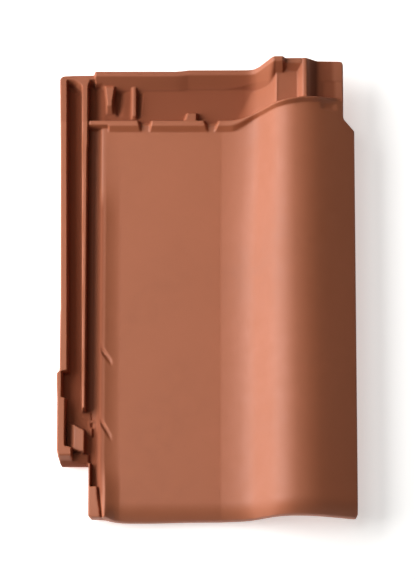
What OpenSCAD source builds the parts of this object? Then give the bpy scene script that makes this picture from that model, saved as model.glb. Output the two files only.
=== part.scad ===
// Large interlocking clay roof tile with a flat pan and one raised roll.
// The weather face is up (+Z), the head of the tile is at +Y and the roll is on the +X side.
// The origin is on the floor under the middle of the tile, which lies on its nibs and its tail rib.

/* [Overall] */
// Length over the roll, from the tail edge to the head edge
tile_length = 482; // [420:1:540]
// Width over everything
tile_width = 307; // [290:1:330]
// Thickness of the shell
shell_t = 12; // [9:0.5:14]
// Height of the pan's underside above the floor
stand_h = 12; // [8:0.5:18]

/* [Roll] */
// Width from the foot of the roll to the right edge
roll_span = 138.5; // [132:0.5:150]
// Width from the foot of the roll to its crown
roll_w = 75; // [70:1:84]
// Height of the roll above the pan
roll_h = 36; // [28:1:42]
// Length of the straight part of the roll's left flank
flank_l = 26; // [16:1:34]
// Radius of the roll's crown on the flank side
crown_r = 48; // [42:1:54]
// Radius of the roll's crown on the cover side
back_r = 88; // [70:1:110]
// Slope of the roll's cover side
back_a = 20; // [12:1:24]
// Width of the cover flange along the right edge
flange_w = 8; // [6:0.5:12]
// Height of the cover flange's bottom above the floor
flange_z = 22; // [18:0.5:26]

/* [Side lock] */
// Width of the side lock, from the left edge to the pan
lock_w = 54.5; // [52:0.5:60]
// Width of the outer rim at its top
rim_w = 5.6; // [3:0.2:7]
// Width of the outer water channel
outer_channel_w = 15.5; // [12:0.5:18]
// Width of the middle rib at its top
rib_w = 3.2; // [2.8:0.2:6]
// Width of the inner water channel
inner_channel_w = 10; // [9:0.5:12]
// Height of the lock's rims above the pan
lock_rim_h = 6.5; // [4:0.5:8]
// Height of the border ridge above the pan
ridge_h = 1.5; // [1:0.5:4]
// Depth of the water channels below the pan
channel_d = 8; // [5:0.5:10]
// Thickness of the lock's floor
lock_floor_t = 9; // [7:0.5:12]

/* [Head] */
// Step back of the head edge beside the roll
head_step = 7; // [4:0.5:10]
// Step back of the lock's head edge from the pan's
lock_step = 3.5; // [2:0.5:6]
// Height of the head rim above the pan
rim_h = 11; // [8:0.5:14]
// Width of the head rim's flat top
rim_top_w = 5.5; // [4:0.5:8]
// Lean of the head rim's inner face from the level
rim_a = 49; // [40:1:60]
// Depth of the head channel below the pan
head_channel_d = 3; // [1:0.5:4]
// Distance from the pan's head edge to the cross rib
rib_back = 52.5; // [46:0.5:60]
// Width of the cross rib's flat top
cross_rib_w = 5.5; // [4:0.5:8]
// Height of the cross rib above the weather face
cross_rib_h = 6; // [4:0.5:7]
// Lean of the cross rib's front face from the level
cross_rib_a = 46; // [35:1:60]
// Distance by which the cross rib moves toward the head over the roll
cross_rib_shift = 16; // [10:1:20]
// Width of each drain notch in the cross rib
notch_w = 16; // [12:1:20]
// Depth of the lap field below the roll's weather face
lap_d = 4; // [2:0.5:5]
// Depth of the shelf beside the roll below the crown
shelf_d = 12; // [9:1:14]

/* [Tail] */
// Height of the turned-down nose
nose_h = 18; // [15:0.5:22]
// Thickness of the nose
nose_t = 10; // [8:0.5:14]
// Length over which the weather face bends down into the nose
nose_run = 18; // [12:1:24]

/* [Underside] */
// Width of each batten nib
nib_w = 28; // [20:1:34]
// Thickness of each batten nib along the tile
nib_t = 18; // [12:1:24]
// Distance from the head edge to the hooking face of the nibs
nib_hook = 50; // [42:1:60]
// Thickness of the tail rib and of the cover rib
stiffener_t = 8; // [6:0.5:10]

/* [Hidden] */
clay = "#a8684a";
half_l = tile_length / 2;
half_w = tile_width / 2;
over = 5;
arc_step = 5;
slope_step = 6;

// Levels above the floor
under_z = stand_h;
pan_z = under_z + shell_t;
crown_z = pan_z + roll_h;
lock_rim_z = pan_z + lock_rim_h;
ridge_z = pan_z + ridge_h;
channel_z = pan_z - channel_d;
lock_under_z = channel_z - lock_floor_t;
head_channel_z = pan_z - head_channel_d;
rim_z = pan_z + rim_h;
top_z = crown_z + 30;

// Places across the tile, from the left edge
rim_x = -half_w + 3.5;
channel_1_x = rim_x + rim_w;
rib_x = channel_1_x + 1 + outer_channel_w;
channel_2_x = rib_x + rib_w;
slope_x = channel_2_x + 1 + inner_channel_w;
pan_x = -half_w + lock_w;
ridge_x = pan_x - 4.7;
block_x = channel_2_x + 6.5;
right_x = half_w;
corner_x = half_w - 12;

// Places along the tile
pan_head_y = half_l - head_step;
lock_head_y = pan_head_y - lock_step;
rib_y = pan_head_y - rib_back;
lock_tail_y = -half_l + 58;
nib_y = half_l - nib_hook;

// Roll: an arc up from the pan, a straight flank that touches it, and two arcs that meet at the crown
foot_x = half_w - roll_span;
crown_x = foot_x + roll_w;
radii = (roll_w * roll_w + roll_h * roll_h - flank_l * flank_l) / (2 * roll_h);
foot_r = radii - crown_r;
flank_a = atan2(radii, flank_l) - atan2(radii - roll_h, roll_w);
flank_x = foot_x + foot_r * sin(flank_a);
shoulder_x = crown_x - crown_r * sin(flank_a);
back_x = crown_x + back_r * sin(back_a);

// Left edge of the lap field, and the slanting stretch of the head edge that ends beside it
edge_x = crown_x - 17;
step_w = 22;
step_x = edge_x - step_w - 3;

// Points of an arc in the cross section, both ends included
function arc(x, z, r, a0, a1) =
    let (n = ceil(abs(a1 - a0) / arc_step))
    [for (i = [0:n]) let (a = a0 + (a1 - a0) * i / n) [x + r * cos(a), z + r * sin(a)]];

// Height of the weather face, for one place across the tile
function face_z(x) =
    x < foot_x ? pan_z :
    x < flank_x ? pan_z + foot_r - sqrt(foot_r * foot_r - pow(x - foot_x, 2)) :
    x < shoulder_x ? crown_z - crown_r * (1 - cos(flank_a)) - (shoulder_x - x) * tan(flank_a) :
    x < crown_x ? crown_z - crown_r + sqrt(crown_r * crown_r - pow(x - crown_x, 2)) :
    x < back_x ? crown_z - back_r + sqrt(back_r * back_r - pow(x - crown_x, 2)) :
    crown_z - back_r * (1 - cos(back_a)) - (x - back_x) * tan(back_a);

// Line across the pan and the roll from x0 to x1, moved out of the weather face by d
function face_line(d, x0, x1) =
    let (
        bends = concat(
            arc(foot_x, pan_z + foot_r, foot_r - d, 270, 270 + flank_a),
            arc(crown_x, crown_z - crown_r, crown_r + d, 90 + flank_a, 90),
            arc(crown_x, crown_z - back_r, back_r + d, 90 - back_a / 4, 90 - back_a)
        )
    )
    concat(
        [[x0, pan_z + d]],
        [for (q = bends) if (q.x < x1 - 0.5) q],
        [[x1, face_z(x1) + (x1 > back_x ? d / cos(back_a) : d)]]
    );

// Place along the tile of the cross rib's middle, which climbs the roll toward the head
function cross_rib_y(x) =
    rib_y - cross_rib_w / 2 + cross_rib_shift * (x < crown_x ? (face_z(x) - pan_z) / roll_h : 1);

// Place along the tile of the head rim's inner top edge, which steps out beside the roll
function head_rim_y(x) =
    pan_head_y - rim_top_w + head_step * min(1, max(0, (x - step_x) / step_w));

// Line with each height changed by h
function raised(line, h) = [for (q = line) [q.x, q.y + h]];

// Weather face as a line of even steps across the roll, for the faces that slope along the tile.
// Slopes that meet start at different distances from the roll's foot.
function slope_line(x0, x1, start = 2) = concat(
    [[x0, pan_z]],
    [for (x = [foot_x + start : slope_step : x1 - 2]) [x, face_z(x)]],
    [[x1, face_z(x1)]]
);

// Head field: channel floor, flank, lap field, lap rib and shelf, from the left to the right
lap_x = crown_x + 5;
head_line = [
    [pan_x - 7, head_channel_z],
    [foot_x + 12, head_channel_z],
    [step_x + 3, face_z(step_x + 3) - lap_d - 2],
    [edge_x, face_z(edge_x) - lap_d],
    [edge_x + 1.5, face_z(edge_x) - lap_d - 2],
    [lap_x, crown_z - 2 * lap_d],
    [lap_x + 5, crown_z],
    [lap_x + 8, crown_z],
    [lap_x + 21, crown_z - shelf_d],
    [half_w, crown_z - shelf_d - 1]
];

// Solid under a line of the cross section, from y0 to y1 and down to the level low
module under(line, y0, y1, low = 0)
    translate([0, y1, 0])
        rotate([90, 0, 0])
            linear_extrude(y1 - y0)
                polygon(concat([[line[0].x, low]], line, [[line[len(line) - 1].x, low]]));

// Solid under a surface that climbs toward the head at the angle a, where line is its section at y = 0
module under_slope(line, a)
    rotate([a, 0, 0])
        under([for (q = line) [q.x, q.y * cos(a)]], -2 * tile_length, 2 * tile_length, -2 * tile_length);

// Column over a plan outline, from the level low up past the crown
module column(outline, low = -over)
    translate([0, 0, low])
        linear_extrude(top_z + over - low)
            polygon(outline);

// Box given by its two opposite corners
module block(a, b)
    translate(a)
        cube(b - a);

// Plan of everything headward of the cross rib's middle
module head_zone()
    column(concat(
        [[-half_w - over, rib_y - cross_rib_w / 2]],
        [for (q = face_line(0, pan_x, right_x)) [q.x, cross_rib_y(q.x)]],
        [[half_w + over, cross_rib_y(right_x)], [half_w + over, half_l + over], [-half_w - over, half_l + over]]
    ));

// Outline of the tile seen from above
module tile_plan() {
    column([
        [rim_x - 2, lock_head_y],
        [pan_x - 18, lock_head_y],
        [pan_x - 18, pan_head_y],
        [step_x, pan_head_y],
        [step_x + step_w, half_l],
        [corner_x, half_l],
        [corner_x, half_l - 61],
        [half_w, half_l - 73],
        [half_w, -half_l + 6],
        [half_w - 4, -half_l],
        [pan_x + 22, -half_l],
        [block_x + 2, -half_l + 3],
        [block_x - 3, -half_l + 6],
        [block_x - 3, lock_tail_y],
        [-half_w + 5, lock_tail_y],
        [-half_w, lock_tail_y + 11],
        [-half_w, lock_tail_y + 97],
        [rim_x, lock_tail_y + 99]
    ]);
}

// Bending of the weather face into the tail nose, in a gentle part and a steep one
module nose_bend() {
    gentle_line = slope_line(-half_w - over, right_x + over);
    steep_line = slope_line(-half_w - over, right_x + over, 5);
    gentle_a = 14;
    steep_a = 50;
    gentle_y = -half_l + nose_run;
    steep_y = -half_l + nose_run / 3;
    steep_drop = (gentle_y - steep_y) * tan(gentle_a);
    intersection() {
        under_slope(raised(gentle_line, -gentle_y * tan(gentle_a)), gentle_a);
        under_slope(raised(steep_line, -steep_drop - steep_y * tan(steep_a)), steep_a);
    }
}

// Shell without its hollow: pan and roll, and the sunk field at the head
module shell_body() {
    line = face_line(0, pan_x, right_x);
    difference() {
        intersection() {
            under(line, -half_l, half_l);
            nose_bend();
        }
        head_zone();
    }
    intersection() {
        under(head_line, rib_y - over, half_l);
        head_zone();
    }
}

// Cross rib with its sloping front face
module cross_rib() {
    line = face_line(0, channel_2_x + 1, corner_x);
    front = [for (q = slope_line(channel_2_x, corner_x + 1))
        [q.x, q.y + cross_rib_h - (cross_rib_y(q.x) - cross_rib_w / 2) * tan(cross_rib_a)]];
    intersection() {
        under(raised(line, cross_rib_h), rib_y - 3 * cross_rib_h, half_l, under_z + 1);
        under_slope(front, cross_rib_a);
        column(concat(
            [for (q = line) [q.x, cross_rib_y(q.x) + cross_rib_w / 2]],
            [[corner_x, rib_y - 3 * cross_rib_h], [channel_2_x + 1, rib_y - 3 * cross_rib_h]]
        ));
    }
}

// Drain notch through the cross rib, narrow at its bottom and at its front
module drain_notch(x) {
    column([
        [x - notch_w / 2, rib_y + 2],
        [x + notch_w / 2, rib_y + 2],
        [x + notch_w / 4, rib_y - cross_rib_w - cross_rib_h - 3],
        [x - notch_w / 4, rib_y - cross_rib_w - cross_rib_h - 3]
    ]);
}

// Head rim with its sloping inner face, and the higher end block where it reaches the roll
module head_rim() {
    tops = [for (q = face_line(0, pan_x - 18, crown_x - 12)) [q.x, min(q.y + rim_h, crown_z + 4)]];
    slope = [for (q = slope_line(pan_x - 19, crown_x - 8))
        [q.x, min(q.y + rim_h, crown_z + 4) - head_rim_y(q.x) * tan(rim_a)]];
    intersection() {
        under(tops, rib_y, half_l, under_z + 1);
        under_slope(slope, rim_a);
    }
    block([-half_w, lock_head_y - 6, lock_under_z], [pan_x - 17, lock_head_y, lock_rim_z]);
    block([pan_x - 18, lock_head_y - 1, lock_under_z], [pan_x, pan_head_y, head_channel_z]);
}

// Bump on the head side of the cross rib, beside the inner drain notch
module rib_bump() {
    block([foot_x - 38, rib_y - 1, under_z + 1], [foot_x - 25, rib_y + 8, pan_z + cross_rib_h - 1]);
}

// Two bosses that stiffen the corner of the head channel
module bosses() {
    foot_y = rib_y + 12;
    under([[pan_x - 7, channel_z], [pan_x - 5, lock_rim_z], [pan_x + 1, lock_rim_z], [pan_x + 2, channel_z]],
        foot_y, pan_head_y - 16, under_z + 1);
    under([[pan_x + 20, head_channel_z], [pan_x + 22, pan_z + 2], [pan_x + 26, pan_z + 2],
        [pan_x + 27, head_channel_z]], foot_y - 7, pan_head_y - 16, under_z + 1);
}

// Side lock: outer rim, two water channels with a rib between them, and the border ridge
module side_lock() {
    line = [
        [-half_w, lock_rim_z],
        [channel_1_x, lock_rim_z],
        [channel_1_x + 1, channel_z],
        [rib_x - 1, channel_z],
        [rib_x, lock_rim_z],
        [channel_2_x, lock_rim_z],
        [channel_2_x + 1, channel_z],
        [slope_x, channel_z],
        [slope_x + 3, ridge_z - 1],
        [ridge_x - 2, ridge_z],
        [ridge_x, ridge_z],
        [pan_x, pan_z],
        [pan_x + 1, pan_z]
    ];
    difference() {
        under(line, lock_tail_y, lock_head_y, lock_under_z);
        // The outer channel is wider where the lock of the next course lands
        block([-half_w + 5, lock_tail_y + 70, channel_z], [channel_1_x + 1, lock_tail_y + 97, top_z]);
        // The middle rib ends short of the tail, where the two channels join
        block([rib_x - 1, lock_tail_y - 1, channel_z], [channel_2_x + 1, lock_tail_y + 56, top_z]);
        // The border ridge ends at the cross rib, and a pocket of the inner channel reaches the head rim
        block([slope_x, rib_y, head_channel_z], [pan_x + 2, lock_head_y + 1, top_z]);
        block([channel_2_x + 1, rib_y, channel_z], [pan_x - 7, lock_head_y - 8, top_z]);
        // Drain slots through the border ridge
        for (y = [lock_tail_y + 43, lock_tail_y + 117])
            column([[slope_x + 1, y - 2], [slope_x + 1, y + 4], [ridge_x, y], [pan_x, y - 9], [ridge_x - 3, y - 6]],
                pan_z - 1);
    }
}

// Tail end of the side lock: landing pad, end block with its sloping face, and the narrow outlet
module lock_tail() {
    pad_y = lock_tail_y + 16;
    bevel_a = 55;
    under([[channel_1_x + 5, channel_z], [channel_1_x + 11, pan_z + 1], [rib_x + 3, pan_z + 2],
        [rib_x + 4, channel_z]], pad_y, pad_y + 22, lock_under_z);
    intersection() {
        block([-half_w, lock_tail_y, lock_under_z], [block_x - 3, lock_tail_y + 19, lock_rim_z]);
        under_slope([for (q = [[-half_w, 1], [channel_1_x + 8, 1], [rib_x + 6, -6]])
            [q.x, lock_rim_z + q.y - (lock_tail_y + 10) * tan(bevel_a)]], bevel_a);
        under([[-half_w, lock_rim_z], [channel_1_x + 8, lock_rim_z], [channel_1_x + 9, lock_rim_z - 6],
            [block_x - 3, lock_rim_z - 10]], lock_tail_y, lock_tail_y + 19, lock_under_z);
    }
    outlet = [
        [block_x - 4, pan_z],
        [block_x - 0.5, pan_z],
        [block_x, channel_z + 2],
        [slope_x - 3, channel_z + 2],
        [ridge_x - 3, ridge_z],
        [ridge_x, ridge_z],
        [pan_x, pan_z],
        [pan_x + 1, pan_z]
    ];
    intersection() {
        under(outlet, -half_l + 3, lock_tail_y, lock_under_z + 3);
        nose_bend();
    }
    block([block_x - 4, -half_l, channel_z - 2], [ridge_x - 4, -half_l + 36, ridge_z - 1]);
}

// Hollow of the underside, with the cover flange left along the right edge
module hollow() {
    line = face_line(-shell_t, pan_x - 8, right_x - flange_w);
    field_y = half_l - 66;
    difference() {
        under(line, -half_l + nose_t, half_l + over, -over);
        block([shoulder_x, field_y, crown_z - 2 * lap_d - shell_t], [half_w, half_l + over, top_z]);
        block([lap_x + 9, field_y, crown_z - shelf_d - shell_t], [half_w, half_l + over, top_z]);
    }
    under(raised(face_line(0, pan_x + 1, right_x + over), -nose_h), -half_l - over, -half_l + nose_t + 0.5, -over);
    block([right_x - flange_w - 1, -half_l - over, -over], [right_x + over, half_l + over, flange_z]);
    block([-half_w - over, -half_l - over, -over], [pan_x - 7, half_l + over, lock_under_z]);
}

// Cover rib in the roll's hollow, batten nibs and tail rib
module underside_ribs() {
    cover_x = right_x - 32;
    rib_top = face_z(cover_x) - shell_t / 2;
    block([cover_x, -half_l + nose_t - 1, flange_z], [cover_x + stiffener_t, half_l - 62, rib_top]);
    for (x = [pan_x + 3, foot_x - 6])
        block([x, nib_y, 0], [x + nib_w, nib_y + nib_t, under_z + 3]);
    block([pan_x + 3, -half_l + nose_t + 8, 0],
        [foot_x - 6 + nib_w, -half_l + nose_t + 8 + stiffener_t, under_z + 3]);
}

module roof_tile() {
    color(clay)
        union() {
            intersection() {
                difference() {
                    union() {
                        shell_body();
                        side_lock();
                        lock_tail();
                        head_rim();
                        bosses();
                        rib_bump();
                        difference() {
                            cross_rib();
                            for (x = [pan_x + 34, foot_x - 10]) {
                                drain_notch(x);
                            }
                        }
                    }
                    hollow();
                }
                tile_plan();
            }
            underside_ribs();
        }
}

roof_tile();
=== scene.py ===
"""Pressed clay roof tile with a flat pan and one raised roll, lying on a pale studio floor.

Every length is in millimetres until the mesh is written, which is in metres. +Z is the weather
side, +Y is the head of the tile and the roll is on the +X side. Where a feature is placed with ease,
ramp, fall, window or through, the plain numbers are places on those axes, or widths of its slopes.
"""

import logging
import math
from dataclasses import dataclass, field
from enum import Enum

import bpy
import numpy as np
from mathutils import Matrix, Vector


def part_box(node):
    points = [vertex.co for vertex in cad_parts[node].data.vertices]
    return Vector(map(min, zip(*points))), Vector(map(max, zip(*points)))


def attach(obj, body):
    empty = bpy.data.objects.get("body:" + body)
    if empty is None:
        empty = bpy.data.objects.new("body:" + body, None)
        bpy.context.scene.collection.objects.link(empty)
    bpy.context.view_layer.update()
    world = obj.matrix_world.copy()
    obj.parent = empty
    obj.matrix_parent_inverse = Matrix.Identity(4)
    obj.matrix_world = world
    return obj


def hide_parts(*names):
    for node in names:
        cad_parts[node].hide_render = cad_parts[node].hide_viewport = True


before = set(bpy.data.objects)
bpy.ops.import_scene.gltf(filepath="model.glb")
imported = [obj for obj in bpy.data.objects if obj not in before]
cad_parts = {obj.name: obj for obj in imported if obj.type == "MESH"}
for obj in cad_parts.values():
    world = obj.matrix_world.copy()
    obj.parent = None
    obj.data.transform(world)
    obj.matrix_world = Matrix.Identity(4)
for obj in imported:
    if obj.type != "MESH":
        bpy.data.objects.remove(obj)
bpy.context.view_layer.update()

LOG = logging.getLogger("roof_tile")
MM = 0.001
# name of the painted-shade mask that the material reads
PAINTED_SHADE = "painted_shade"
Place = float | np.ndarray


class Face(Enum):
    """The two faces of the tile."""

    WEATHER = "weather side"
    UNDER = "underside"


def ease(start: float, end: float, t: np.ndarray) -> np.ndarray:
    """Smooth step: 0 before start, 1 past end, and 3 s squared minus 2 s cubed between them.

    Args:
        start: Value of t where the step begins.
        end: Value of t where it ends; it may be less than start.
        t: Coordinates to step along.

    Returns:
        The step's value at each coordinate.
    """
    s = np.clip((t - start) / (end - start), 0.0, 1.0)
    return s * s * (3.0 - 2.0 * s)


def ramp(start: Place, end: Place, t: np.ndarray) -> np.ndarray:
    """Straight step: 0 before start, 1 past end, and a straight line between them."""
    return np.clip((t - start) / (end - start), 0.0, 1.0)


def fall(start: Place, end: Place, t: np.ndarray) -> np.ndarray:
    """Straight step down: 1 before start, 0 past end, and a straight line between them."""
    return 1.0 - ramp(start, end, t)


def window(t: np.ndarray, low: Place, high: Place, soft: float) -> np.ndarray:
    """Plateau of 1 from low to high that falls to 0 over the width soft outside it.

    Args:
        t: Coordinates.
        low: Where the plateau begins.
        high: Where it ends.
        soft: Width of each flank, outside the plateau.

    Returns:
        The plateau's value at each coordinate.
    """
    return ramp(low - soft, low, t) * fall(high, high + soft, t)


def through(t: np.ndarray, *knots: tuple[float, float]) -> np.ndarray:
    """Straight runs through knots, each a place and its value, and level past the outer two."""
    places, values = zip(*knots)
    return np.interp(t, places, values)


def mix(a: Place, b: Place, share: Place) -> np.ndarray:
    """Weighted mean of a and b, where share is b's part."""
    return a + (b - a) * share


@dataclass
class Roll:
    """Cross section of the roll, given by its slope in degrees at a few breaks across the tile."""

    foot_x: float = 13.0
    crown_x: float = 91.0
    height: float = 36.0
    samples: int = 600
    breaks: tuple[float, ...] = (
        13, 14.5, 23, 33, 41, 46, 51, 62, 67, 72, 78, 84, 88, 91, 97, 105, 115, 125, 160,
    )
    degrees: tuple[float, ...] = (
        0, 4.5, 8, 13.5, 23, 34, 40, 40, 35, 26.5, 18, 9.5, 4, 0, -4.5, -11, -18.5, -22, -25,
    )
    place: np.ndarray = field(init=False)
    slope: np.ndarray = field(init=False)
    total: np.ndarray = field(init=False)

    def __post_init__(self) -> None:
        """Sums the slope across the roll, and scales it so that the crown has the roll's height."""
        self.place = np.linspace(self.foot_x, self.breaks[-1], self.samples)
        slope = np.tan(np.radians(np.interp(self.place, self.breaks, self.degrees)))
        steps = (slope[1:] + slope[:-1]) / 2.0 * np.diff(self.place)
        total = np.concatenate([[0.0], np.cumsum(steps)])
        scale = self.height / np.interp(self.crown_x, self.place, total)
        self.slope, self.total = slope * scale, total * scale

    def rise(self, x: np.ndarray, inward: float = 0.0) -> np.ndarray:
        """Height above the pan: the summed slope, less the inward distance over the slope's cosine.

        Args:
            x: Places across the tile.
            inward: Distance by which the surface lies under the weather face, square to it.

        Returns:
            The height of the surface above the pan's weather face.
        """
        slope = np.interp(x, self.place, self.slope, left=0.0)
        return np.interp(x, self.place, self.total, left=0.0) - inward * np.sqrt(1.0 + slope**2)


@dataclass
class Outline:
    """Edges of the tile seen from above, each as a distance that depends on the other direction."""

    low_x: float = -154.5
    high_x: float = 152.5
    low_y: float = -240.5
    high_y: float = 241.5
    notch_x: float = -121.5
    notch_y: float = -182.0

    def left(self, y: np.ndarray) -> np.ndarray:
        """Left edge: it widens toward the tail, and its last corner is cut off."""
        return through(
            y, (-182.0, -148.6), (-180.5, -150.0), (-170.0, -153.4), (-168.0, -153.7), (-115.0, -153.8),
            (-100.0, -154.5), (-88.0, -154.5), (-85.0, -151.6), (-27.0, -151.5), (-20.0, -151.2),
            (150.0, -152.8), (225.0, -153.9), (231.0, -153.9),
        )

    def right(self, y: np.ndarray) -> np.ndarray:
        """Right edge: straight, with the head corner set back by a slanting cut."""
        return through(
            y, (-240.5, 148.5), (-239.3, 151.0), (-236.5, 152.5), (166.5, 152.5), (168.5, 152.0),
            (179.0, 142.0), (181.0, 141.0), (238.0, 141.0), (240.3, 140.3), (241.5, 138.5),
        )

    def head(self, x: np.ndarray) -> np.ndarray:
        """Head edge: back beside the side lock, straight over the pan, and forward beside the roll."""
        return through(
            x, (-153.9, 226.5), (-152.6, 229.0), (-150.0, 230.4), (-140.0, 231.0), (-118.4, 231.3),
            (-117.2, 234.3), (-30.0, 234.3), (-20.0, 235.7), (48.0, 235.9), (54.0, 236.9), (66.0, 240.7),
            (70.0, 241.5), (137.0, 241.5), (141.0, 240.7),
        )

    def tail(self, x: np.ndarray) -> np.ndarray:
        """Tail edge: straight, rising to the block under the side lock, whose corner is round."""
        return through(
            x, (-121.5, -233.2), (-120.5, -235.4), (-118.0, -236.8), (-104.0, -237.2), (-96.0, -239.2),
            (-88.0, -240.2), (-80.0, -240.5), (-55.0, -240.5), (-20.0, -239.6), (30.0, -239.1),
            (152.5, -239.3),
        )

    def depth(self, x: np.ndarray, y: np.ndarray) -> np.ndarray:
        """Distance in from the nearest edge, as the least of the distances to each edge.

        Args:
            x: Places across the tile.
            y: Places along it.

        Returns:
            The distance at each place, 0 on the edge.
        """
        across = np.minimum(x - self.left(y), self.right(y) - x)
        along = np.minimum(self.head(x) - y, y - self.tail(x))
        corner = np.maximum(x - self.notch_x, y - self.notch_y)
        return np.maximum(np.minimum(np.minimum(across, along), corner), 0.0)


@dataclass
class Levels:
    """Heights above the floor on which the tile lies."""

    lock_under: float = 7.0
    bevel_foot: float = 9.0
    head_pocket: float = 15.4
    channel: float = 16.0
    well: float = 17.0
    head_channel: float = 21.0
    groove: float = 21.0
    flange: float = 22.0
    outlet_wall: float = 23.5
    pan: float = 24.0
    head_ridge: float = 24.3
    landing_pad: float = 25.2
    outlet_block: float = 25.6
    small_boss: float = 26.2
    ridge: float = 26.6
    tail_ridge: float = 29.2
    large_boss: float = 29.3
    lock_rim: float = 30.5
    head_wall: float = 30.9
    head_rim: float = 35.0
    under_block: float = 35.5
    under_lap: float = 40.0
    lap_rib: float = 59.2
    crown: float = 60.0
    head_block: float = 65.6


@dataclass
class RoofTile:
    """The whole tile: one pressed solid whose two faces are heights over its outline."""

    outline: Outline = field(default_factory=Outline)
    roll: Roll = field(default_factory=Roll)
    level: Levels = field(default_factory=Levels)
    shell: float = 12.0
    least_thickness: float = 4.0
    flank_lean: float = 5.0
    lean_span: tuple[float, float] = (20.0, 170.0)
    flank_height: float = 31.5
    flank_power: float = 1.35
    shelf_depth: float = 0.9
    ridge_run: float = 15.0
    ridge_power: float = 1.6
    tail_ridge_power: float = 1.3
    slot_width: float = 3.6
    hook_height: float = 2.2
    fan_height: float = 1.6
    sill_height: float = 2.0
    pad_slope: float = 1.2
    tail_sink: float = 2.2
    pit_depth: float = 2.6
    fin_height: float = 3.0
    well_depth: float = 2.6
    dimple_depth: float = 1.4
    nose_height: float = 18.0
    nose_run: float = 20.0
    nose_drop: float = 10.0
    nose_drop_left: float = 2.5
    nose_power: float = 2.1
    nose_thickness: float = 10.0
    head_rim_width: float = 5.4
    head_rim_grade: float = 1.6
    head_rim_bend: float = 2.6
    head_rim_slope: float = 1.12
    head_block_slope: float = 0.43
    cross_rib_y: float = 179.6
    cross_rib_width: float = 5.5
    cross_rib_height: float = 5.6
    cross_rib_run: float = 5.8
    cross_rib_back: float = 1.2
    bump_share: float = 0.9
    nib_width: float = 27.2
    nib_left: tuple[float, float] = (-96.6, 8.4)
    nib_span: tuple[float, float] = (192.0, 209.0)
    tail_rib_across: tuple[float, float] = (-96.6, 35.6)
    tail_rib_along: tuple[float, float] = (-222.0, -215.0)
    draft: float = 0.6
    cover_edge: float = 8.0
    cover_edge_slope: float = 1.2
    cover_rib: tuple[float, float] = (31.6, 24.4)
    edge_radius: float = 1.4
    under_radius: float = 1.0
    moulding: float = 0.45
    moulding_spread: float = 1.1
    sharp_angle: float = math.radians(50.0)

    # ---- weather side -------------------------------------------------------------------------

    def weather_face(self, x: np.ndarray, y: np.ndarray) -> np.ndarray:
        """Pan and roll: the roll's section, whose flank leans a little to the right near the head.

        Args:
            x: Places across the tile.
            y: Places along it.

        Returns:
            The height of the plain weather face above the floor.
        """
        hump = np.sin(np.pi * ramp(0.0, self.roll.crown_x, x)) ** 2
        lean = self.flank_lean * ease(*self.lean_span, y) * hump
        return self.level.pan + self.roll.rise(x - lean)

    def rib_path(self, x: np.ndarray) -> np.ndarray:
        """Middle of the cross rib along the tile, which runs toward the head as it climbs the roll."""
        return self.cross_rib_y + through(
            x, (27.0, 0.0), (36.0, 1.6), (52.0, 6.8), (70.0, 11.4), (86.0, 14.0), (98.0, 15.5), (140.0, 18.0),
        )

    def lap_field(self, x: np.ndarray, y: np.ndarray) -> np.ndarray:
        """Sunk field between the cross rib and the head edge.

        Its flank climbs the roll as a power of the distance from a foot line that slants to the
        right toward the head, and straight runs join the other breaks.

        Args:
            x: Places across the tile.
            y: Places along it.

        Returns:
            The height of the field above the floor.
        """
        slant = 0.5 * np.clip(y - 184.0, 0.0, 38.0)
        foot, shoulder = 31.0 + slant, 71.5
        flank = self.level.head_channel + self.flank_height * ramp(foot, shoulder, x) ** self.flank_power
        below_crown = through(
            x, (71.5, 7.5), (73.0, 8.0), (93.4, 8.8), (98.9, 0.4), (102.6, 0.2), (114.0, 12.0), (152.5, 14.2),
        )
        z = np.where(x < shoulder, flank, self.level.crown - below_crown)
        return z - self.shelf_depth * ramp(116.0, 120.0, x) * fall(219.0, 220.4, y)

    def rim_edge(self, y: np.ndarray) -> np.ndarray:
        """Inner edge of the outer rim, which stands back where the next course lands."""
        slanting, near_tail, landing = -144.3 - 0.0093 * (y + 10.0), -145.6, -149.4
        edge = mix(slanting, near_tail, fall(-113.6, -112.4, y))
        return mix(edge, landing, window(y, -112.4, -86.4, 0.9))

    def side_lock(self, x: np.ndarray, y: np.ndarray) -> np.ndarray:
        """Side lock's section: outer rim, channel, middle rib, channel and border ridge.

        The border ridge falls to the pan as a power of the distance left, and stands taller near the tail.

        Args:
            x: Places across the tile.
            y: Places along it.

        Returns:
            The height of the lock above the floor.
        """
        low, pan = self.level.channel, self.level.pan
        edge, wall_foot = self.rim_edge(y), -118.0
        rib_left = -129.3 - 0.008 * (y + 10.0)
        raised = np.maximum(fall(edge, edge + 1.0, x), window(x, rib_left, -124.7, 0.6))
        tail = ease(-176.0, -212.0, y)
        crest_x = mix(-105.5, -104.3, tail)
        ridge = mix(self.level.ridge, self.level.head_ridge, ease(80.0, 128.0, y))
        ridge = mix(ridge, self.level.tail_ridge, tail)
        share = through(x, (-118.2, 0.0), (-113.8, 0.2), (-110.0, 0.92), (-108.0, 0.985), (-105.5, 1.0))
        tail_share = through(x, (-118.2, 0.0), (-112.4, 0.1), (-110.2, 0.66), (-108.4, 0.84), (-104.4, 1.0))
        wall = mix(low, ridge, mix(share, tail_share, tail))
        left = fall(0.0, self.ridge_run, x - crest_x)
        drop = pan + (ridge - pan) * mix(left**self.ridge_power, left**self.tail_ridge_power, tail)
        channels = mix(low, self.level.lock_rim, raised)
        return np.where(x < wall_foot, channels, np.where(x < crest_x, wall, drop))

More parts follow.
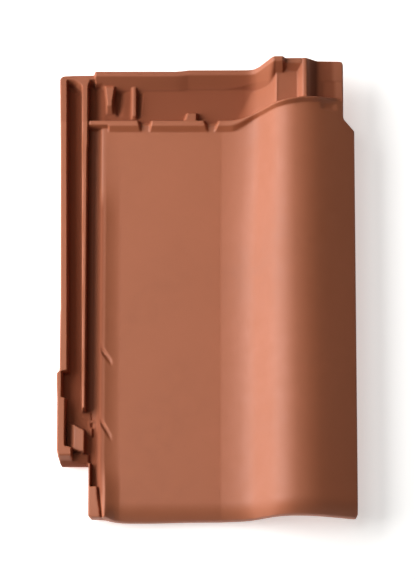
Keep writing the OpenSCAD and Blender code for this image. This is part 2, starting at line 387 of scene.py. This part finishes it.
    def lock_head(self, z: np.ndarray, x: np.ndarray, y: np.ndarray) -> np.ndarray:
        """Head end of the side lock: closed channels, and a broad start of the middle rib."""
        rim = self.level.lock_rim
        left = -129.7 - 3.6 * ramp(214.0, 227.0, y)
        right = -124.3 + 2.6 * ramp(220.0, 227.0, y)
        broad = window(x, left, right, 0.8) * ramp(153.0, 158.0, y + 1.1 * (x + 124.5))
        z = np.maximum(z, mix(z, rim, broad))
        closing = ramp(213.5, 222.5, y + 0.9 * (x + 133.0)) * fall(-132.5, -130.5, x)
        z = mix(z, rim, closing)
        return np.where(x < -117.0, mix(z, self.level.head_wall, ramp(222.5, 226.5, y)), z)

    def head_pocket(self, z: np.ndarray, x: np.ndarray, y: np.ndarray) -> np.ndarray:
        """Deep pocket at the head end of the inner channel, with a sloping wall on the pan's side."""
        high = 219.0 + 0.15 * (x + 122.0)
        share = ramp(-123.8, -122.8, x) * fall(-117.0, -107.8, x) * window(y, 186.0, high, 2.2)
        return mix(z, np.minimum(z, self.level.head_pocket), share)

    def head_rim(self, x: np.ndarray, y: np.ndarray) -> np.ndarray:
        """Head rim: flat top, then a slope down toward the tail, following the roll to a raised end block.

        The top climbs as w g log(1 + exp((x - s) / w)): level at first, then at the grade g.

        Args:
            x: Places across the tile.
            y: Places along it.

        Returns:
            The height of the rim above the floor, or 0 away from it.
        """
        bend, grade = self.head_rim_bend, self.head_rim_grade
        climb = grade * bend * np.log1p(np.exp(np.clip((x - 49.0) / bend, -30.0, 30.0)))
        top = np.minimum(self.level.head_rim + climb, self.level.head_block)
        top = mix(top, self.level.lap_rib, ramp(78.4, 80.6, x))
        front = self.outline.head(x) - self.head_rim_width
        slope = self.head_rim_slope + self.head_block_slope * window(x, 70.0, 79.0, 5.0)
        z = np.minimum(top, top + (y - front) * slope)
        fade = ramp(-118.2, -117.2, x) * fall(98.0, 100.0, x)
        return np.where(fade > 0.0, mix(0.0, z, fade), 0.0)

    def bosses(self, z: np.ndarray, x: np.ndarray, y: np.ndarray) -> np.ndarray:
        """Two stiffening bosses in the head channel, each with a pointed well on its roll side."""
        level, back = self.level, 215.0 - y
        left_in, right_in = 0.08 * back, 0.12 * back
        left = ramp(-97.6 + left_in, -95.6 + left_in, x)
        right = fall(-90.5 - right_in, -85.0 - right_in, x)
        z = mix(z, np.minimum(z, level.well), left * right * window(y, 192.0, 216.0, 4.0))
        small_well = window(x, -71.8, -70.0 + 0.08 * (y - 200.0), 1.8) * window(y, 190.0, 212.0, 3.0)
        z = z - self.well_depth * small_well
        wide = 1.6 * ramp(204.0, 216.0, y)
        head_end = fall(219.0, 222.0, y)
        large = window(x, -105.0 - wide, -99.0 + 1.1 * wide, 1.1) * head_end * ramp(189.5, 191.5, y)
        large_top = np.minimum(level.large_boss, level.head_channel + (y - 190.5))
        z = np.maximum(z, mix(z, large_top, large))
        small = window(x, -78.6, -74.4, 1.2) * head_end * ramp(183.5, 185.5, y)
        small_top = np.minimum(level.small_boss, level.head_channel + 1.3 * (y - 184.5))
        return np.maximum(z, mix(z, small_top, small))

    def cross_rib(self, x: np.ndarray, y: np.ndarray) -> np.ndarray:
        """Cross rib: flat top, sloping tail face, notches for the water and a bump beside one of them.

        Its top is narrow on the roll and beside the side lock, and wide over the pan.

        Args:
            x: Places across the tile.
            y: Places along it.

        Returns:
            The height of the rib above the floor, or 0 away from it.
        """
        half = self.cross_rib_width / 2.0
        t = y - self.rib_path(x)
        back_y = 183.0 - y
        base = self.weather_face(x, y)
        tall = self.cross_rib_height * fall(116.0, 134.0, x)
        wide = self.cross_rib_run
        top_edge = through(x, (-103.6, -1.9), (-102.8, -half), (27.0, -half), (46.0, half - 1.5))
        run = through(x, (-103.6, 2.4), (-102.8, wide), (27.0, wide), (46.0, 3.9), (75.0, 3.6), (98.0, 3.0))
        front = ramp(top_edge - run, top_edge, t)
        back = fall(half, half + self.cross_rib_back, t)
        bump = window(x, -23.4 - 0.35 * back_y, -11.6, 1.4) * window(y, 179.0, 190.5, 1.4)
        share = np.maximum(front * back, bump * self.bump_share)
        notch_1 = window(x, -71.0 + 0.22 * back_y, -59.4 - 0.16 * back_y, 1.6)
        notch_2 = window(x, -2.2 + 0.30 * back_y, 10.6 - 0.36 * back_y, 1.8)
        share = share * (1.0 - notch_1) * (1.0 - notch_2)
        fade = ramp(-124.6, -123.0, x) * fall(138.0, 141.0, x)
        return np.where(share * fade > 0.0, base + tall * share * fade, 0.0)

    def lock_tail(self, z: np.ndarray, x: np.ndarray, y: np.ndarray) -> np.ndarray:
        """Tail end of the side lock: joined channels, landing pad, end block and outlet.

        Args:
            z: Height of the lock so far.
            x: Places across the tile.
            y: Places along it.

        Returns:
            The height with the lock's tail worked into it.
        """
        low, rim = self.level.channel, self.level.lock_rim
        joined = fall(-127.5, -125.5, y) * window(x, -132.0, -124.0, 1.2)
        z = mix(z, low, joined)
        hook_y = -131.5 - 2.6 * np.sin(np.clip((x + 127.0) / 8.4, 0.0, 1.0) * math.pi * 0.9)
        hook = window(x, -127.6, -119.4, 0.8) * window(y, hook_y - 0.5, hook_y + 0.5, 0.9)
        z = z + self.hook_height * hook
        fan = ramp(-134.0, -124.0, x + 0.62 * (y + 128.0)) * fall(-120.4, -118.8, x)
        fan = fan * fall(-127.0, -124.5, y) * ramp(-152.0, -147.0, y)
        z = mix(z, low + self.fan_height, fan)
        sill = window(x, -121.5, -113.8, 1.0) * fall(-135.4, -134.4, y) * ramp(-152.0, -147.0, y)
        z = mix(z, low + self.sill_height, sill)
        sink = window(x, -123.0, -114.0, 1.6) * fall(-156.0, -149.0, y) * ramp(-204.5, -203.0, y)
        z = z - self.tail_sink * sink
        pit = window(x, -118.9, -117.2, 0.9) * window(y, -141.8, -138.6, 1.0)
        fin = window(x, -119.4, -118.0, 0.7) * window(y, -151.5, -144.5, 1.2)
        z = z - self.pit_depth * pit + self.fin_height * fin
        pad_back = -140.2 - 0.55 * (x + 137.0)
        pad_front = -166.5 - 0.25 * (x + 137.0)
        pad = ramp(pad_front - self.pad_slope, pad_front, y) * fall(pad_back, pad_back + self.pad_slope, y)
        pad = pad * ramp(-144.5, -136.0, x) * fall(-126.0, -124.8, x)
        z = np.maximum(z, mix(z, self.level.landing_pad + 0.08 * (x + 126.0), pad))
        block = fall(-163.2, -162.0, y + 0.22 * (x + 147.0)) * fall(-138.6, -137.2, x)
        z = mix(z, rim, block)
        dam = fall(-171.0, -169.0, y) * ramp(-138.6, -137.2, x) * fall(-121.6, -120.4, x)
        z = mix(z, through(x, (-138.0, low + 5.0), (-121.5, low + 1.5)), dam)
        bevel = rim + 1.9 * (y + 173.4)
        return np.where(x < -120.6, np.minimum(z, np.maximum(bevel, self.level.bevel_foot)), z)

    def outlet(self, z: np.ndarray, x: np.ndarray, y: np.ndarray) -> np.ndarray:
        """Outlet below the side lock: a thin wall, the inner channel, and a flat block beside a groove."""
        wall = fall(-119.3, -118.6, x) * fall(-181.0, -179.0, y)
        z = np.where(x > -122.0, mix(z, self.level.outlet_wall, wall), z)
        groove_x = -112.4 - 0.094 * (y + 190.0)
        groove = window(x, groove_x - 0.4, groove_x + 0.4, 0.8) * fall(-190.0, -184.0, y)
        block = fall(groove_x - 1.6, groove_x - 0.8, x) * fall(-205.2, -203.8, y)
        z = mix(z, self.level.outlet_block + 0.1 * (x + 115.0), block)
        return mix(z, self.level.groove, groove)

    def nose(self, z: np.ndarray, x: np.ndarray, y: np.ndarray) -> np.ndarray:
        """Turned-down tail nose: the face falls as a power of the distance into the bend."""
        t = np.clip((self.outline.low_y + self.nose_run - y) / self.nose_run, 0.0, 1.2)
        drop = mix(self.nose_drop_left, self.nose_drop, ramp(-104.5, -95.0, x))
        return z - drop * t**self.nose_power

    def ridge_slots(self, x: np.ndarray, y: np.ndarray) -> np.ndarray:
        """Two drain slots that slant through the border ridge, 1 in a slot's floor and 0 outside them."""
        slots = np.zeros_like(x)
        for start, slant, from_x in ((-65.4, 1.29, -105.0), (-139.5, 1.6, -106.7)):
            run = start - slant * (x - from_x)
            slot = window(y, run - self.slot_width, run, 2.6) * window(x, -110.0, -100.0, 2.6)
            slots = np.maximum(slots, slot)
        return slots

    def weather_side(self, x: np.ndarray, y: np.ndarray) -> np.ndarray:
        """Height of the weather side before its edges are rounded: each feature is laid over the last.

        Args:
            x: Places across the tile.
            y: Places along it.

        Returns:
            The height above the floor.
        """
        z = np.where(x < -60.0, self.side_lock(x, y), self.weather_face(x, y))
        sunk = ramp(0.0, 1.0, y - self.rib_path(x)) * ramp(-117.0, -109.0, x)
        z = mix(z, self.lap_field(x, y), sunk)
        z = self.lock_head(z, x, y)
        z = self.bosses(z, x, y)
        z = z - self.dimple_depth * window(x, 121.0, 130.0, 4.0) * window(y, 189.0, 193.5, 3.0)
        z = np.maximum(z, self.cross_rib(x, y))
        z = np.maximum(z, self.head_rim(x, y))
        z = np.where(x < -104.0, self.head_pocket(z, x, y), z)
        z = np.where(y < -60.0, self.lock_tail(z, x, y), z)
        z = mix(z, np.minimum(z, self.level.pan - 0.1), self.ridge_slots(x, y))
        z = np.where((y < -176.0) & (x > -122.0), self.outlet(z, x, y), z)
        return self.nose(z, x, y)

    # ---- underside ----------------------------------------------------------------------------

    def underside(self, x: np.ndarray, y: np.ndarray) -> np.ndarray:
        """Height of the underside: hollow shell, cover flange and rib, nibs, tail rib and nose.

        Args:
            x: Places across the tile.
            y: Places along it.

        Returns:
            The height above the floor.
        """
        level, out = self.level, self.outline
        z = level.pan + self.roll.rise(x, self.shell)
        z = np.where(x < -107.0, level.lock_under, z)
        head = ramp(173.0, 175.0, y)
        z = mix(z, np.minimum(z, level.under_lap), head * ramp(58.0, 60.0, x))
        z = mix(z, np.minimum(z, level.under_block), head * ramp(101.0, 104.0, x))
        inner = out.high_x - self.cover_edge
        edge = ramp(inner - self.cover_edge_slope, inner, x) * fall(180.0, 182.0, y)
        left, right = (out.high_x - inset for inset in self.cover_rib)
        rib = window(x, left, right, self.draft) * fall(176.0, 178.0, y)
        z = mix(z, level.flange, np.maximum(edge, rib))
        back = out.low_y + self.nose_thickness
        nose = fall(back - 0.8, back + 0.8, y) * ramp(-108.0, -106.0, x)
        z = mix(z, self.weather_face(x, y) - self.nose_height, nose)
        for start in self.nib_left:
            nib = window(x, start, start + self.nib_width, self.draft) * window(y, *self.nib_span, self.draft)
            z = mix(z, 0.0, nib)
        across, along = self.tail_rib_across, self.tail_rib_along
        return mix(z, 0.0, window(x, *across, self.draft) * window(y, *along, self.draft))

    # ---- mesh ---------------------------------------------------------------------------------

    def height(self, face: Face, x: np.ndarray, y: np.ndarray) -> np.ndarray:
        """Height of one face with its arrises softened and its edge rounded.

        The softening is a bell-weighted mean over 25 near places.

        Args:
            face: Which face.
            x: Places across the tile.
            y: Places along it.

        Returns:
            The height above the floor at each place.
        """
        plain = self.weather_side if face is Face.WEATHER else self.underside
        taps = np.array([-2.0, -1.0, 0.0, 1.0, 2.0])
        weights = np.exp(-0.5 * (taps / self.moulding_spread) ** 2)
        total = np.zeros_like(x)
        for dx, wx in zip(taps, weights):
            for dy, wy in zip(taps, weights):
                total += wx * wy * plain(x + dx * self.moulding, y + dy * self.moulding)
        total /= weights.sum() ** 2
        if face is Face.WEATHER:
            return total - self.rounding(x, y, self.edge_radius)
        return total + self.rounding(x, y, self.under_radius)

    def columns(self) -> np.ndarray:
        """Grid lines across the tile: close in the lock and at the lap, wide over the pan."""
        return self.lines([
            (-154.5, -153.3, 0.4), (-153.3, -151.5, 0.6), (-151.5, -144.0, 0.62), (-144.0, -137.0, 1.5),
            (-137.0, -123.5, 0.62), (-123.5, -121.5, 1.0), (-121.5, -116.0, 0.61), (-116.0, -97.0, 0.76),
            (-97.0, -86.0, 1.1), (-86.0, -81.0, 2.5), (-81.0, -56.0, 0.9), (-56.0, -26.0, 6.0),
            (-26.0, -9.0, 1.0), (-9.0, -5.0, 2.0), (-5.0, 12.0, 0.9), (12.0, 16.0, 0.8), (16.0, 45.0, 2.6),
            (45.0, 69.0, 1.8), (69.0, 75.0, 0.75), (75.0, 77.5, 1.2), (77.5, 82.0, 0.8), (82.0, 92.0, 2.0),
            (92.0, 105.0, 0.75), (105.0, 116.0, 1.5), (116.0, 149.0, 2.6), (149.0, 151.3, 0.8),
            (151.3, 152.5, 0.3),
        ])

    def rows(self) -> np.ndarray:
        """Grid lines along the tile: close at the head, at the slots and at the tail."""
        return self.lines([
            (-240.5, -239.2, 0.3), (-239.2, -236.5, 0.6), (-236.5, -228.0, 1.0), (-228.0, -220.0, 1.3),
            (-220.0, -209.0, 3.0), (-209.0, -202.0, 0.9), (-202.0, -184.0, 2.5), (-184.0, -182.0, 0.5),
            (-182.0, -180.5, 0.4), (-180.5, -160.0, 1.0), (-160.0, -153.0, 1.3), (-153.0, -124.0, 0.85),
            (-124.0, -116.0, 2.2), (-116.0, -110.5, 0.7), (-110.5, -90.0, 2.8), (-90.0, -83.0, 0.7),
            (-83.0, -59.0, 1.1), (-59.0, -30.0, 6.0), (-30.0, -18.0, 2.0), (-18.0, 146.0, 10.0),
            (146.0, 166.0, 1.6), (166.0, 204.0, 0.8), (204.0, 212.0, 1.2), (212.0, 237.0, 0.85),
            (237.0, 240.0, 0.6), (240.0, 241.5, 0.3),
        ])

    @staticmethod
    def lines(spans: list[tuple[float, float, float]]) -> np.ndarray:
        """Even lines in each (start, end, spacing) span, at most that far apart; spans share their ends."""
        parts = [np.linspace(a, b, max(2, math.ceil((b - a) / gap) + 1))[:-1] for a, b, gap in spans]
        return np.concatenate(parts + [np.array([spans[-1][1]])])

    def warped_grid(self) -> tuple[np.ndarray, np.ndarray]:
        """Plan grid whose outer lines follow the outline.

        Each place near an edge moves with that edge by a share that falls to nothing further in.

        Returns:
            The places across and along the tile, one row of each array per line along it.
        """
        out = self.outline
        u, v = np.meshgrid(self.columns(), self.rows())
        left_reach, right_reach, head_reach, tail_reach = -144.0, 104.0, 206.0, out.low_y + 14.0
        share_l = fall(out.low_x, left_reach, u)
        share_r = ramp(right_reach, out.high_x, u)
        x = u + (out.left(v) - out.low_x) * share_l + (out.right(v) - out.high_x) * share_r
        share_h = ramp(head_reach, out.high_y, v)
        share_t = fall(out.low_y, tail_reach, v)
        y = v + (out.head(x) - out.high_y) * share_h + (out.tail(x) - out.low_y) * share_t
        return x, y

    def rounding(self, x: np.ndarray, y: np.ndarray, radius: float) -> np.ndarray:
        """Distance by which a rounded edge falls back: a quarter circle of the given radius."""
        d = np.minimum(self.outline.depth(x, y), radius)
        return radius - np.sqrt(np.maximum(radius**2 - (radius - d) ** 2, 0.0))

    def painted_shade(self, x: np.ndarray, y: np.ndarray, top: np.ndarray) -> np.ndarray:
        """Painted shade: how much darker, redder and rougher each place is made, from 0 to 1.

        It grows with the depth in a channel or in the sunk head field, where the rims and ribs shade
        them, and the whole head field gets a little of it. It also lies on the border ridge's wall
        as painted shade.

        Args:
            x: Places across the tile.
            y: Places along it.
            top: Height of the weather side there.

        Returns:
            The bareness at each place.
        """
        # sunk head field: painted shade where it lies deep, and a little darker all over
        head = ramp(0.0, 3.0, y - self.rib_path(x)) * (1.0 - 0.7 * window(x, 52.0, 98.0, 14.0))
        outlet = fall(-150.0, -140.0, y)
        lock = through(x, (-122.0, 1.0), (-119.0, 0.5), (-108.0, 0.5), (-105.0, 0.0)) * (1.0 - outlet)
        lock = lock + outlet * fall(-111.0, -108.0, x)
        deep = ramp(0.5, 3.0, self.weather_face(x, y) - top)
        # painted shade along the border ridge's wall, which stands in the middle rib's shade
        ridge = 0.85 * window(x, -111.5, -108.5, 3.5) * window(y, -212.0, 90.0, 14.0)
        return np.maximum(np.maximum(deep * np.maximum(head, lock), 0.35 * head), ridge)

    def build(self, low_corner: Vector) -> bpy.types.Object:
        """Makes the tile's mesh: both faces over one grid, and walls round their shared edge.

        Args:
            low_corner: Corner of the tile's box with the least coordinates, in metres.

        Returns:
            The tile's object, at the origin and in metres.
        """
        x, y = self.warped_grid()
        top = self.height(Face.WEATHER, x, y)
        low = np.minimum(self.height(Face.UNDER, x, y), top - self.least_thickness)
        columns, rows = self.columns(), self.rows()
        index = np.arange(x.size).reshape(x.shape)
        under_columns = self.thinned(columns, self.outline.notch_x)
        under_rows = self.thinned(rows, self.outline.notch_y)
        upper = self.quads(index, columns, rows)
        under = index[np.ix_(under_rows, under_columns)] + x.size
        lower = self.quads(under, columns[under_columns], rows[under_rows])[:, ::-1]
        walls = self.walls(index, columns, rows, under)
        corner = self.outline.low_x, self.outline.low_y
        shift = np.array([low_corner.x / MM - corner[0], low_corner.y / MM - corner[1], 0.0])
        points = np.concatenate([np.stack([x, y, z], axis=-1).reshape(-1, 3) for z in (top, low)]) + shift
        used = np.unique(np.concatenate([upper.ravel(), lower.ravel()]))
        renumber = np.full(len(points), -1)
        renumber[used] = np.arange(len(used))
        faces = renumber[upper].tolist() + renumber[lower].tolist()
        faces += [renumber[wall].tolist() for wall in walls]
        mesh = bpy.data.meshes.new("clay_roof_tile")
        mesh.from_pydata((points[used] * MM).tolist(), [], faces)
        mesh.validate()
        # painted shade mask on the weather side's points; the underside gets none
        painted_shade = np.concatenate([self.painted_shade(x, y, top).ravel(), np.zeros(x.size)])[used]
        mesh.attributes.new(PAINTED_SHADE, "FLOAT", "POINT").data.foreach_set("value", painted_shade.astype(np.float32))
        mesh.polygons.foreach_set("use_smooth", np.ones(len(mesh.polygons), dtype=bool))
        mesh.set_sharp_from_angle(angle=self.sharp_angle)
        tile = bpy.data.objects.new("clay_roof_tile", mesh)
        bpy.context.scene.collection.objects.link(tile)
        LOG.info("roof tile: %d faces, least thickness %.1f mm", len(mesh.polygons), float((top - low).min()))
        return tile

    def quads(self, index: np.ndarray, columns: np.ndarray, rows: np.ndarray) -> np.ndarray:
        """Quads between neighbouring grid lines, without those in the notch at the tail.

        Args:
            index: Point number at each crossing of the lines.
            columns: The lines' places across the tile.
            rows: The lines' places along it.

        Returns:
            The quads, as point numbers that run anticlockwise from above.
        """
        left = (columns[1:] + columns[:-1]) / 2.0 < self.outline.notch_x
        below = (rows[1:] + rows[:-1]) / 2.0 < self.outline.notch_y
        corners = [index[:-1, :-1], index[:-1, 1:], index[1:, 1:], index[1:, :-1]]
        return np.stack(corners, axis=-1)[~np.logical_and.outer(below, left)]

    @staticmethod
    def thinned(lines: np.ndarray, fixed: float, gap: float = 2.8, border: float = 1.8) -> np.ndarray:
        """Numbers of the grid lines that the plainer underside keeps.

        Args:
            lines: Places of all the grid lines.
            fixed: Place of a line that is always kept.
            gap: Least distance between the kept lines.
            border: Width at both ends in which every line is kept.

        Returns:
            The kept lines' numbers, in order.
        """
        kept = [0]
        for number, place in enumerate(lines[1:], start=1):
            at_end = min(place - lines[0], lines[-1] - place) < border
            if at_end or place == fixed or place - lines[kept[-1]] >= gap:
                kept.append(number)
        return np.array(kept)

    def walls(
        self, index: np.ndarray, columns: np.ndarray, rows: np.ndarray, under: np.ndarray
    ) -> list[np.ndarray]:
        """Walls round the edge, each from one point of the underside's edge to the next.

        Args:
            index: Point numbers of the weather side, one row per line along the tile.
            columns: All the lines' places across the tile.
            rows: All the lines' places along it.
            under: Point numbers of the underside.

        Returns:
            The walls' point numbers, which run so that they face outwards.
        """
        c = int(np.searchsorted(columns, self.outline.notch_x))
        r = int(np.searchsorted(rows, self.outline.notch_y))
        loop = np.concatenate([
            index[0, c:-1], index[:-1, -1], index[-1, :0:-1], index[:r:-1, 0], index[r, :c], index[r:0:-1, c],
        ])
        shared = np.flatnonzero(np.isin(loop + index.size, under))
        ring = np.concatenate([loop, loop])
        ends = np.append(shared[1:], shared[0] + len(loop))
        return [
            np.concatenate([ring[[a, b]] + index.size, ring[a : b + 1][::-1]]) for a, b in zip(shared, ends)
        ]


def linear(code: str) -> tuple[float, float, float, float]:
    """Linear colour with full alpha for an sRGB hex code such as "#a8684a"."""
    parts = [int(code[i : i + 2], 16) / 255.0 for i in (1, 3, 5)]
    return (*[c / 12.92 if c <= 0.04045 else ((c + 0.055) / 1.055) ** 2.4 for c in parts], 1.0)


def add_node(
    tree: bpy.types.NodeTree, kind: str, settings: dict | None = None, links: dict | None = None
) -> bpy.types.Node:
    """Adds one shader node.

    Args:
        tree: Node tree to add it to.
        kind: The node's type name.
        settings: Values by attribute name, or by input name or number.
        links: Output sockets by the input name or number that they feed.

    Returns:
        The new node.
    """
    node = tree.nodes.new(kind)
    for key, value in (settings or {}).items():
        if isinstance(key, str) and hasattr(node, key):
            setattr(node, key, value)
        else:
            node.inputs[key].default_value = value
    for key, socket in (links or {}).items():
        tree.links.new(socket, node.inputs[key])
    return node


@dataclass(frozen=True)
class SlipCoatedClay:
    """Fired red clay with a thin satin slip coat, pressed in plaster moulds.

    The coat gives a soft even sheen. The clay under it leaves a fine grain, faint clouds of tone
    from the kiln, and sparse darker specks. Shade is painted into the colour in the channels, on the
    border ridge and in the sunk head field, darker and redder, and the surface is rougher there.
    """

    name: str = "fired_clay_satin_slip_pressed"
    body: str = "#a95f3c"
    warm: str = "#ac603d"
    dull: str = "#a45b38"
    # painted shade colour, laid on by the painted-shade mask
    shade_colour: str = "#864324"
    speck: str = "#7c452c"
    cloud_mm: float = 90.0
    mottle_mm: float = 14.0
    grain_mm: float = 1.1
    speck_mm: float = 5.0
    speck_share: float = 0.22
    roughness: float = 0.60
    shade_roughness: float = 0.95
    gloss: float = 0.66
    ior: float = 1.5
    grain_relief: float = 0.18
    grain_depth_mm: float = 0.12
    mottle_relief: float = 0.25
    mottle_depth_mm: float = 0.5

    def build(self) -> bpy.types.Material:
        """Makes the material from noise patterns in the tile's own coordinates."""
        material = bpy.data.materials.new(self.name)
        material.use_nodes = True
        tree = material.node_tree
        tree.nodes.clear()
        place = add_node(tree, "ShaderNodeTexCoord").outputs["Object"]
        cloud = self.noise(tree, place, self.cloud_mm, 3.0)
        mottle = self.noise(tree, place, self.mottle_mm, 4.0)
        grain = self.noise(tree, place, self.grain_mm, 2.0)
        tone = self.blend(tree, self.level(tree, cloud, 0.35, 0.65), self.warm, linear(self.dull))
        mixed = self.blend(tree, self.level(tree, mottle, 0.3, 0.7), self.body, tone)
        cells = add_node(
            tree, "ShaderNodeTexVoronoi", {"Scale": 1.0 / (self.speck_mm * MM)}, {"Vector": place}
        )
        dots = self.level(tree, cells.outputs["Distance"], 0.12, 0.05)
        share = add_node(tree, "ShaderNodeMath", {"operation": "MULTIPLY", 1: self.speck_share}, {0: dots})
        flecked = self.blend(tree, share.outputs[0], self.speck, mixed)
        # painted shade: the mask lays a darker, redder colour and a higher roughness over the channels, the
        # border ridge and the sunk head field
        sunk = add_node(tree, "ShaderNodeAttribute", {"attribute_name": PAINTED_SHADE}).outputs["Fac"]
        covered = self.blend(tree, sunk, self.shade_colour, flecked)
        satin = self.level(tree, mottle, 0.2, 0.8, self.roughness - 0.04, self.roughness + 0.05)
        rough = add_node(
            tree, "ShaderNodeMix", {"data_type": "FLOAT", 3: self.shade_roughness}, {0: sunk, 2: satin}
        )
        fine = add_node(
            tree,
            "ShaderNodeBump",
            {"Strength": self.grain_relief, "Distance": self.grain_depth_mm * MM},
            {"Height": grain},
        )
        relief = add_node(
            tree,
            "ShaderNodeBump",
            {"Strength": self.mottle_relief, "Distance": self.mottle_depth_mm * MM},
            {"Height": mottle, "Normal": fine.outputs[0]},
        )
        shader = add_node(
            tree,
            "ShaderNodeBsdfPrincipled",
            {"IOR": self.ior, "Specular IOR Level": self.gloss},
            {"Base Color": covered, "Roughness": rough.outputs[0], "Normal": relief.outputs[0]},
        )
        add_node(tree, "ShaderNodeOutputMaterial", None, {"Surface": shader.outputs[0]})
        return material

    @staticmethod
    def blend(
        tree: bpy.types.NodeTree,
        share: bpy.types.NodeSocket,
        code: str,
        under: bpy.types.NodeSocket | tuple[float, float, float, float],
    ) -> bpy.types.NodeSocket:
        """Colour of the hex code laid over the colour or socket under it, by the given share."""
        settings, links = {"data_type": "RGBA", 7: linear(code)}, {0: share}
        (settings if isinstance(under, tuple) else links)[6] = under
        return add_node(tree, "ShaderNodeMix", settings, links).outputs[2]

    @staticmethod
    def noise(
        tree: bpy.types.NodeTree, place: bpy.types.NodeSocket, size_mm: float, detail: float
    ) -> bpy.types.NodeSocket:
        """Noise whose largest features are about size_mm across."""
        settings = {"Scale": 1.0 / (size_mm * MM), "Detail": detail}
        return add_node(tree, "ShaderNodeTexNoise", settings, {"Vector": place}).outputs["Fac"]

    @staticmethod
    def level(
        tree: bpy.types.NodeTree,
        value: bpy.types.NodeSocket,
        low: float,
        high: float,
        to_low: float = 0.0,
        to_high: float = 1.0,
    ) -> bpy.types.NodeSocket:
        """Value mapped from low..high to to_low..to_high and clamped."""
        settings = {1: low, 2: high, 3: to_low, 4: to_high}
        return add_node(tree, "ShaderNodeMapRange", settings, {0: value}).outputs[0]


@dataclass
class Studio:
    """Pale floor, one broad soft light on the left, a weak one overhead, and a weak even fill."""

    floor_colour: str = "#f4f3f1"
    floor_size: float = 12.0
    floor_roughness: float = 0.9
    floor_glow: float = 0.6
    key_power: float = 97.5
    key_size: float = 2.1
    key_distance: float = 2.2
    key_height: float = math.radians(31.0)
    key_swing: float = math.radians(13.0)
    top_power: float = 8.6
    top_size: float = 0.9
    top_place: tuple[float, float, float] = (-0.6, 0.1, 2.35)
    fill: float = 0.03

    def build(self) -> None:
        """Makes the floor, the two lights and the fill."""
        half = self.floor_size / 2.0
        mesh = bpy.data.meshes.new("studio_floor")
        corners = [(-half, -half, 0), (half, -half, 0), (half, half, 0), (-half, half, 0)]
        mesh.from_pydata(corners, [], [(0, 1, 2, 3)])
        floor = bpy.data.objects.new("studio_floor", mesh)
        bpy.context.scene.collection.objects.link(floor)
        paper = bpy.data.materials.new("matt_studio_paper")
        paper.use_nodes = True
        shader = paper.node_tree.nodes["Principled BSDF"]
        shader.inputs["Base Color"].default_value = linear(self.floor_colour)
        shader.inputs["Roughness"].default_value = self.floor_roughness
        shader.inputs["Emission Color"].default_value = linear(self.floor_colour)
        shader.inputs["Emission Strength"].default_value = self.floor_glow
        mesh.materials.append(paper)
        level, rise = math.cos(self.key_height), math.sin(self.key_height)
        aim = Vector((-level * math.cos(self.key_swing), level * math.sin(self.key_swing), rise))
        self.softbox("left_softbox", self.key_power, self.key_size, aim * self.key_distance)
        self.softbox("top_softbox", self.top_power, self.top_size, Vector(self.top_place))
        world = bpy.data.worlds.new("studio_fill")
        world.use_nodes = True
        world.node_tree.nodes["Background"].inputs["Color"].default_value = linear("#ffffff")
        world.node_tree.nodes["Background"].inputs["Strength"].default_value = self.fill
        bpy.context.scene.world = world
        bpy.context.scene.view_settings.view_transform = "Standard"

    @staticmethod
    def softbox(name: str, power: float, size: float, place: Vector) -> None:
        """Adds a square softbox that faces the origin.

        Args:
            name: The light's name.
            power: Its power in watts.
            size: Its side in metres.
            place: Where it stands, in metres.
        """
        lamp = bpy.data.lights.new(name, "AREA")
        lamp.energy = power
        lamp.size = size
        light = bpy.data.objects.new(name, lamp)
        light.location = place
        light.rotation_euler = place.to_track_quat("Z", "Y").to_euler()
        bpy.context.scene.collection.objects.link(light)


@dataclass
class Camera:
    """Camera on the tail side, high above the tile and looking almost straight down."""

    tilt: float = math.radians(14.5)
    distance: float = 4.0
    target: tuple[float, float, float] = (0.001, -0.00325, 0.040)
    frame_width: float = 415.0
    focal: float = 3895.0
    sensor: float = 36.0
    far: float = 50.0

    def build(self) -> None:
        """Makes the camera and gives it to the scene."""
        data = bpy.data.cameras.new("camera")
        data.sensor_fit = "HORIZONTAL"
        data.sensor_width = self.sensor
        data.lens = self.sensor * self.focal / self.frame_width
        data.clip_end = self.far
        camera = bpy.data.objects.new("camera", data)
        back = Vector((0.0, -math.sin(self.tilt), math.cos(self.tilt)))
        right = Vector((1.0, 0.0, 0.0))
        up = back.cross(right)
        spin = Matrix((right, up, back)).transposed().to_4x4()
        camera.matrix_world = Matrix.Translation(Vector(self.target) + back * self.distance) @ spin
        bpy.context.scene.collection.objects.link(camera)
        bpy.context.scene.camera = camera


def main() -> None:
    """Builds the tile, its finish, the studio and the camera, and reports each."""
    logging.basicConfig(level=logging.INFO, format="%(name)s: %(message)s")
    tile = RoofTile().build(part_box("roof_tile")[0])
    tile.data.materials.append(SlipCoatedClay().build())
    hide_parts("roof_tile")
    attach(tile, "root")
    LOG.info("finish: satin slip coat over fired clay")
    Studio().build()
    Camera().build()
    LOG.info("studio and camera are in place")


if __name__ == "__main__":
    main()
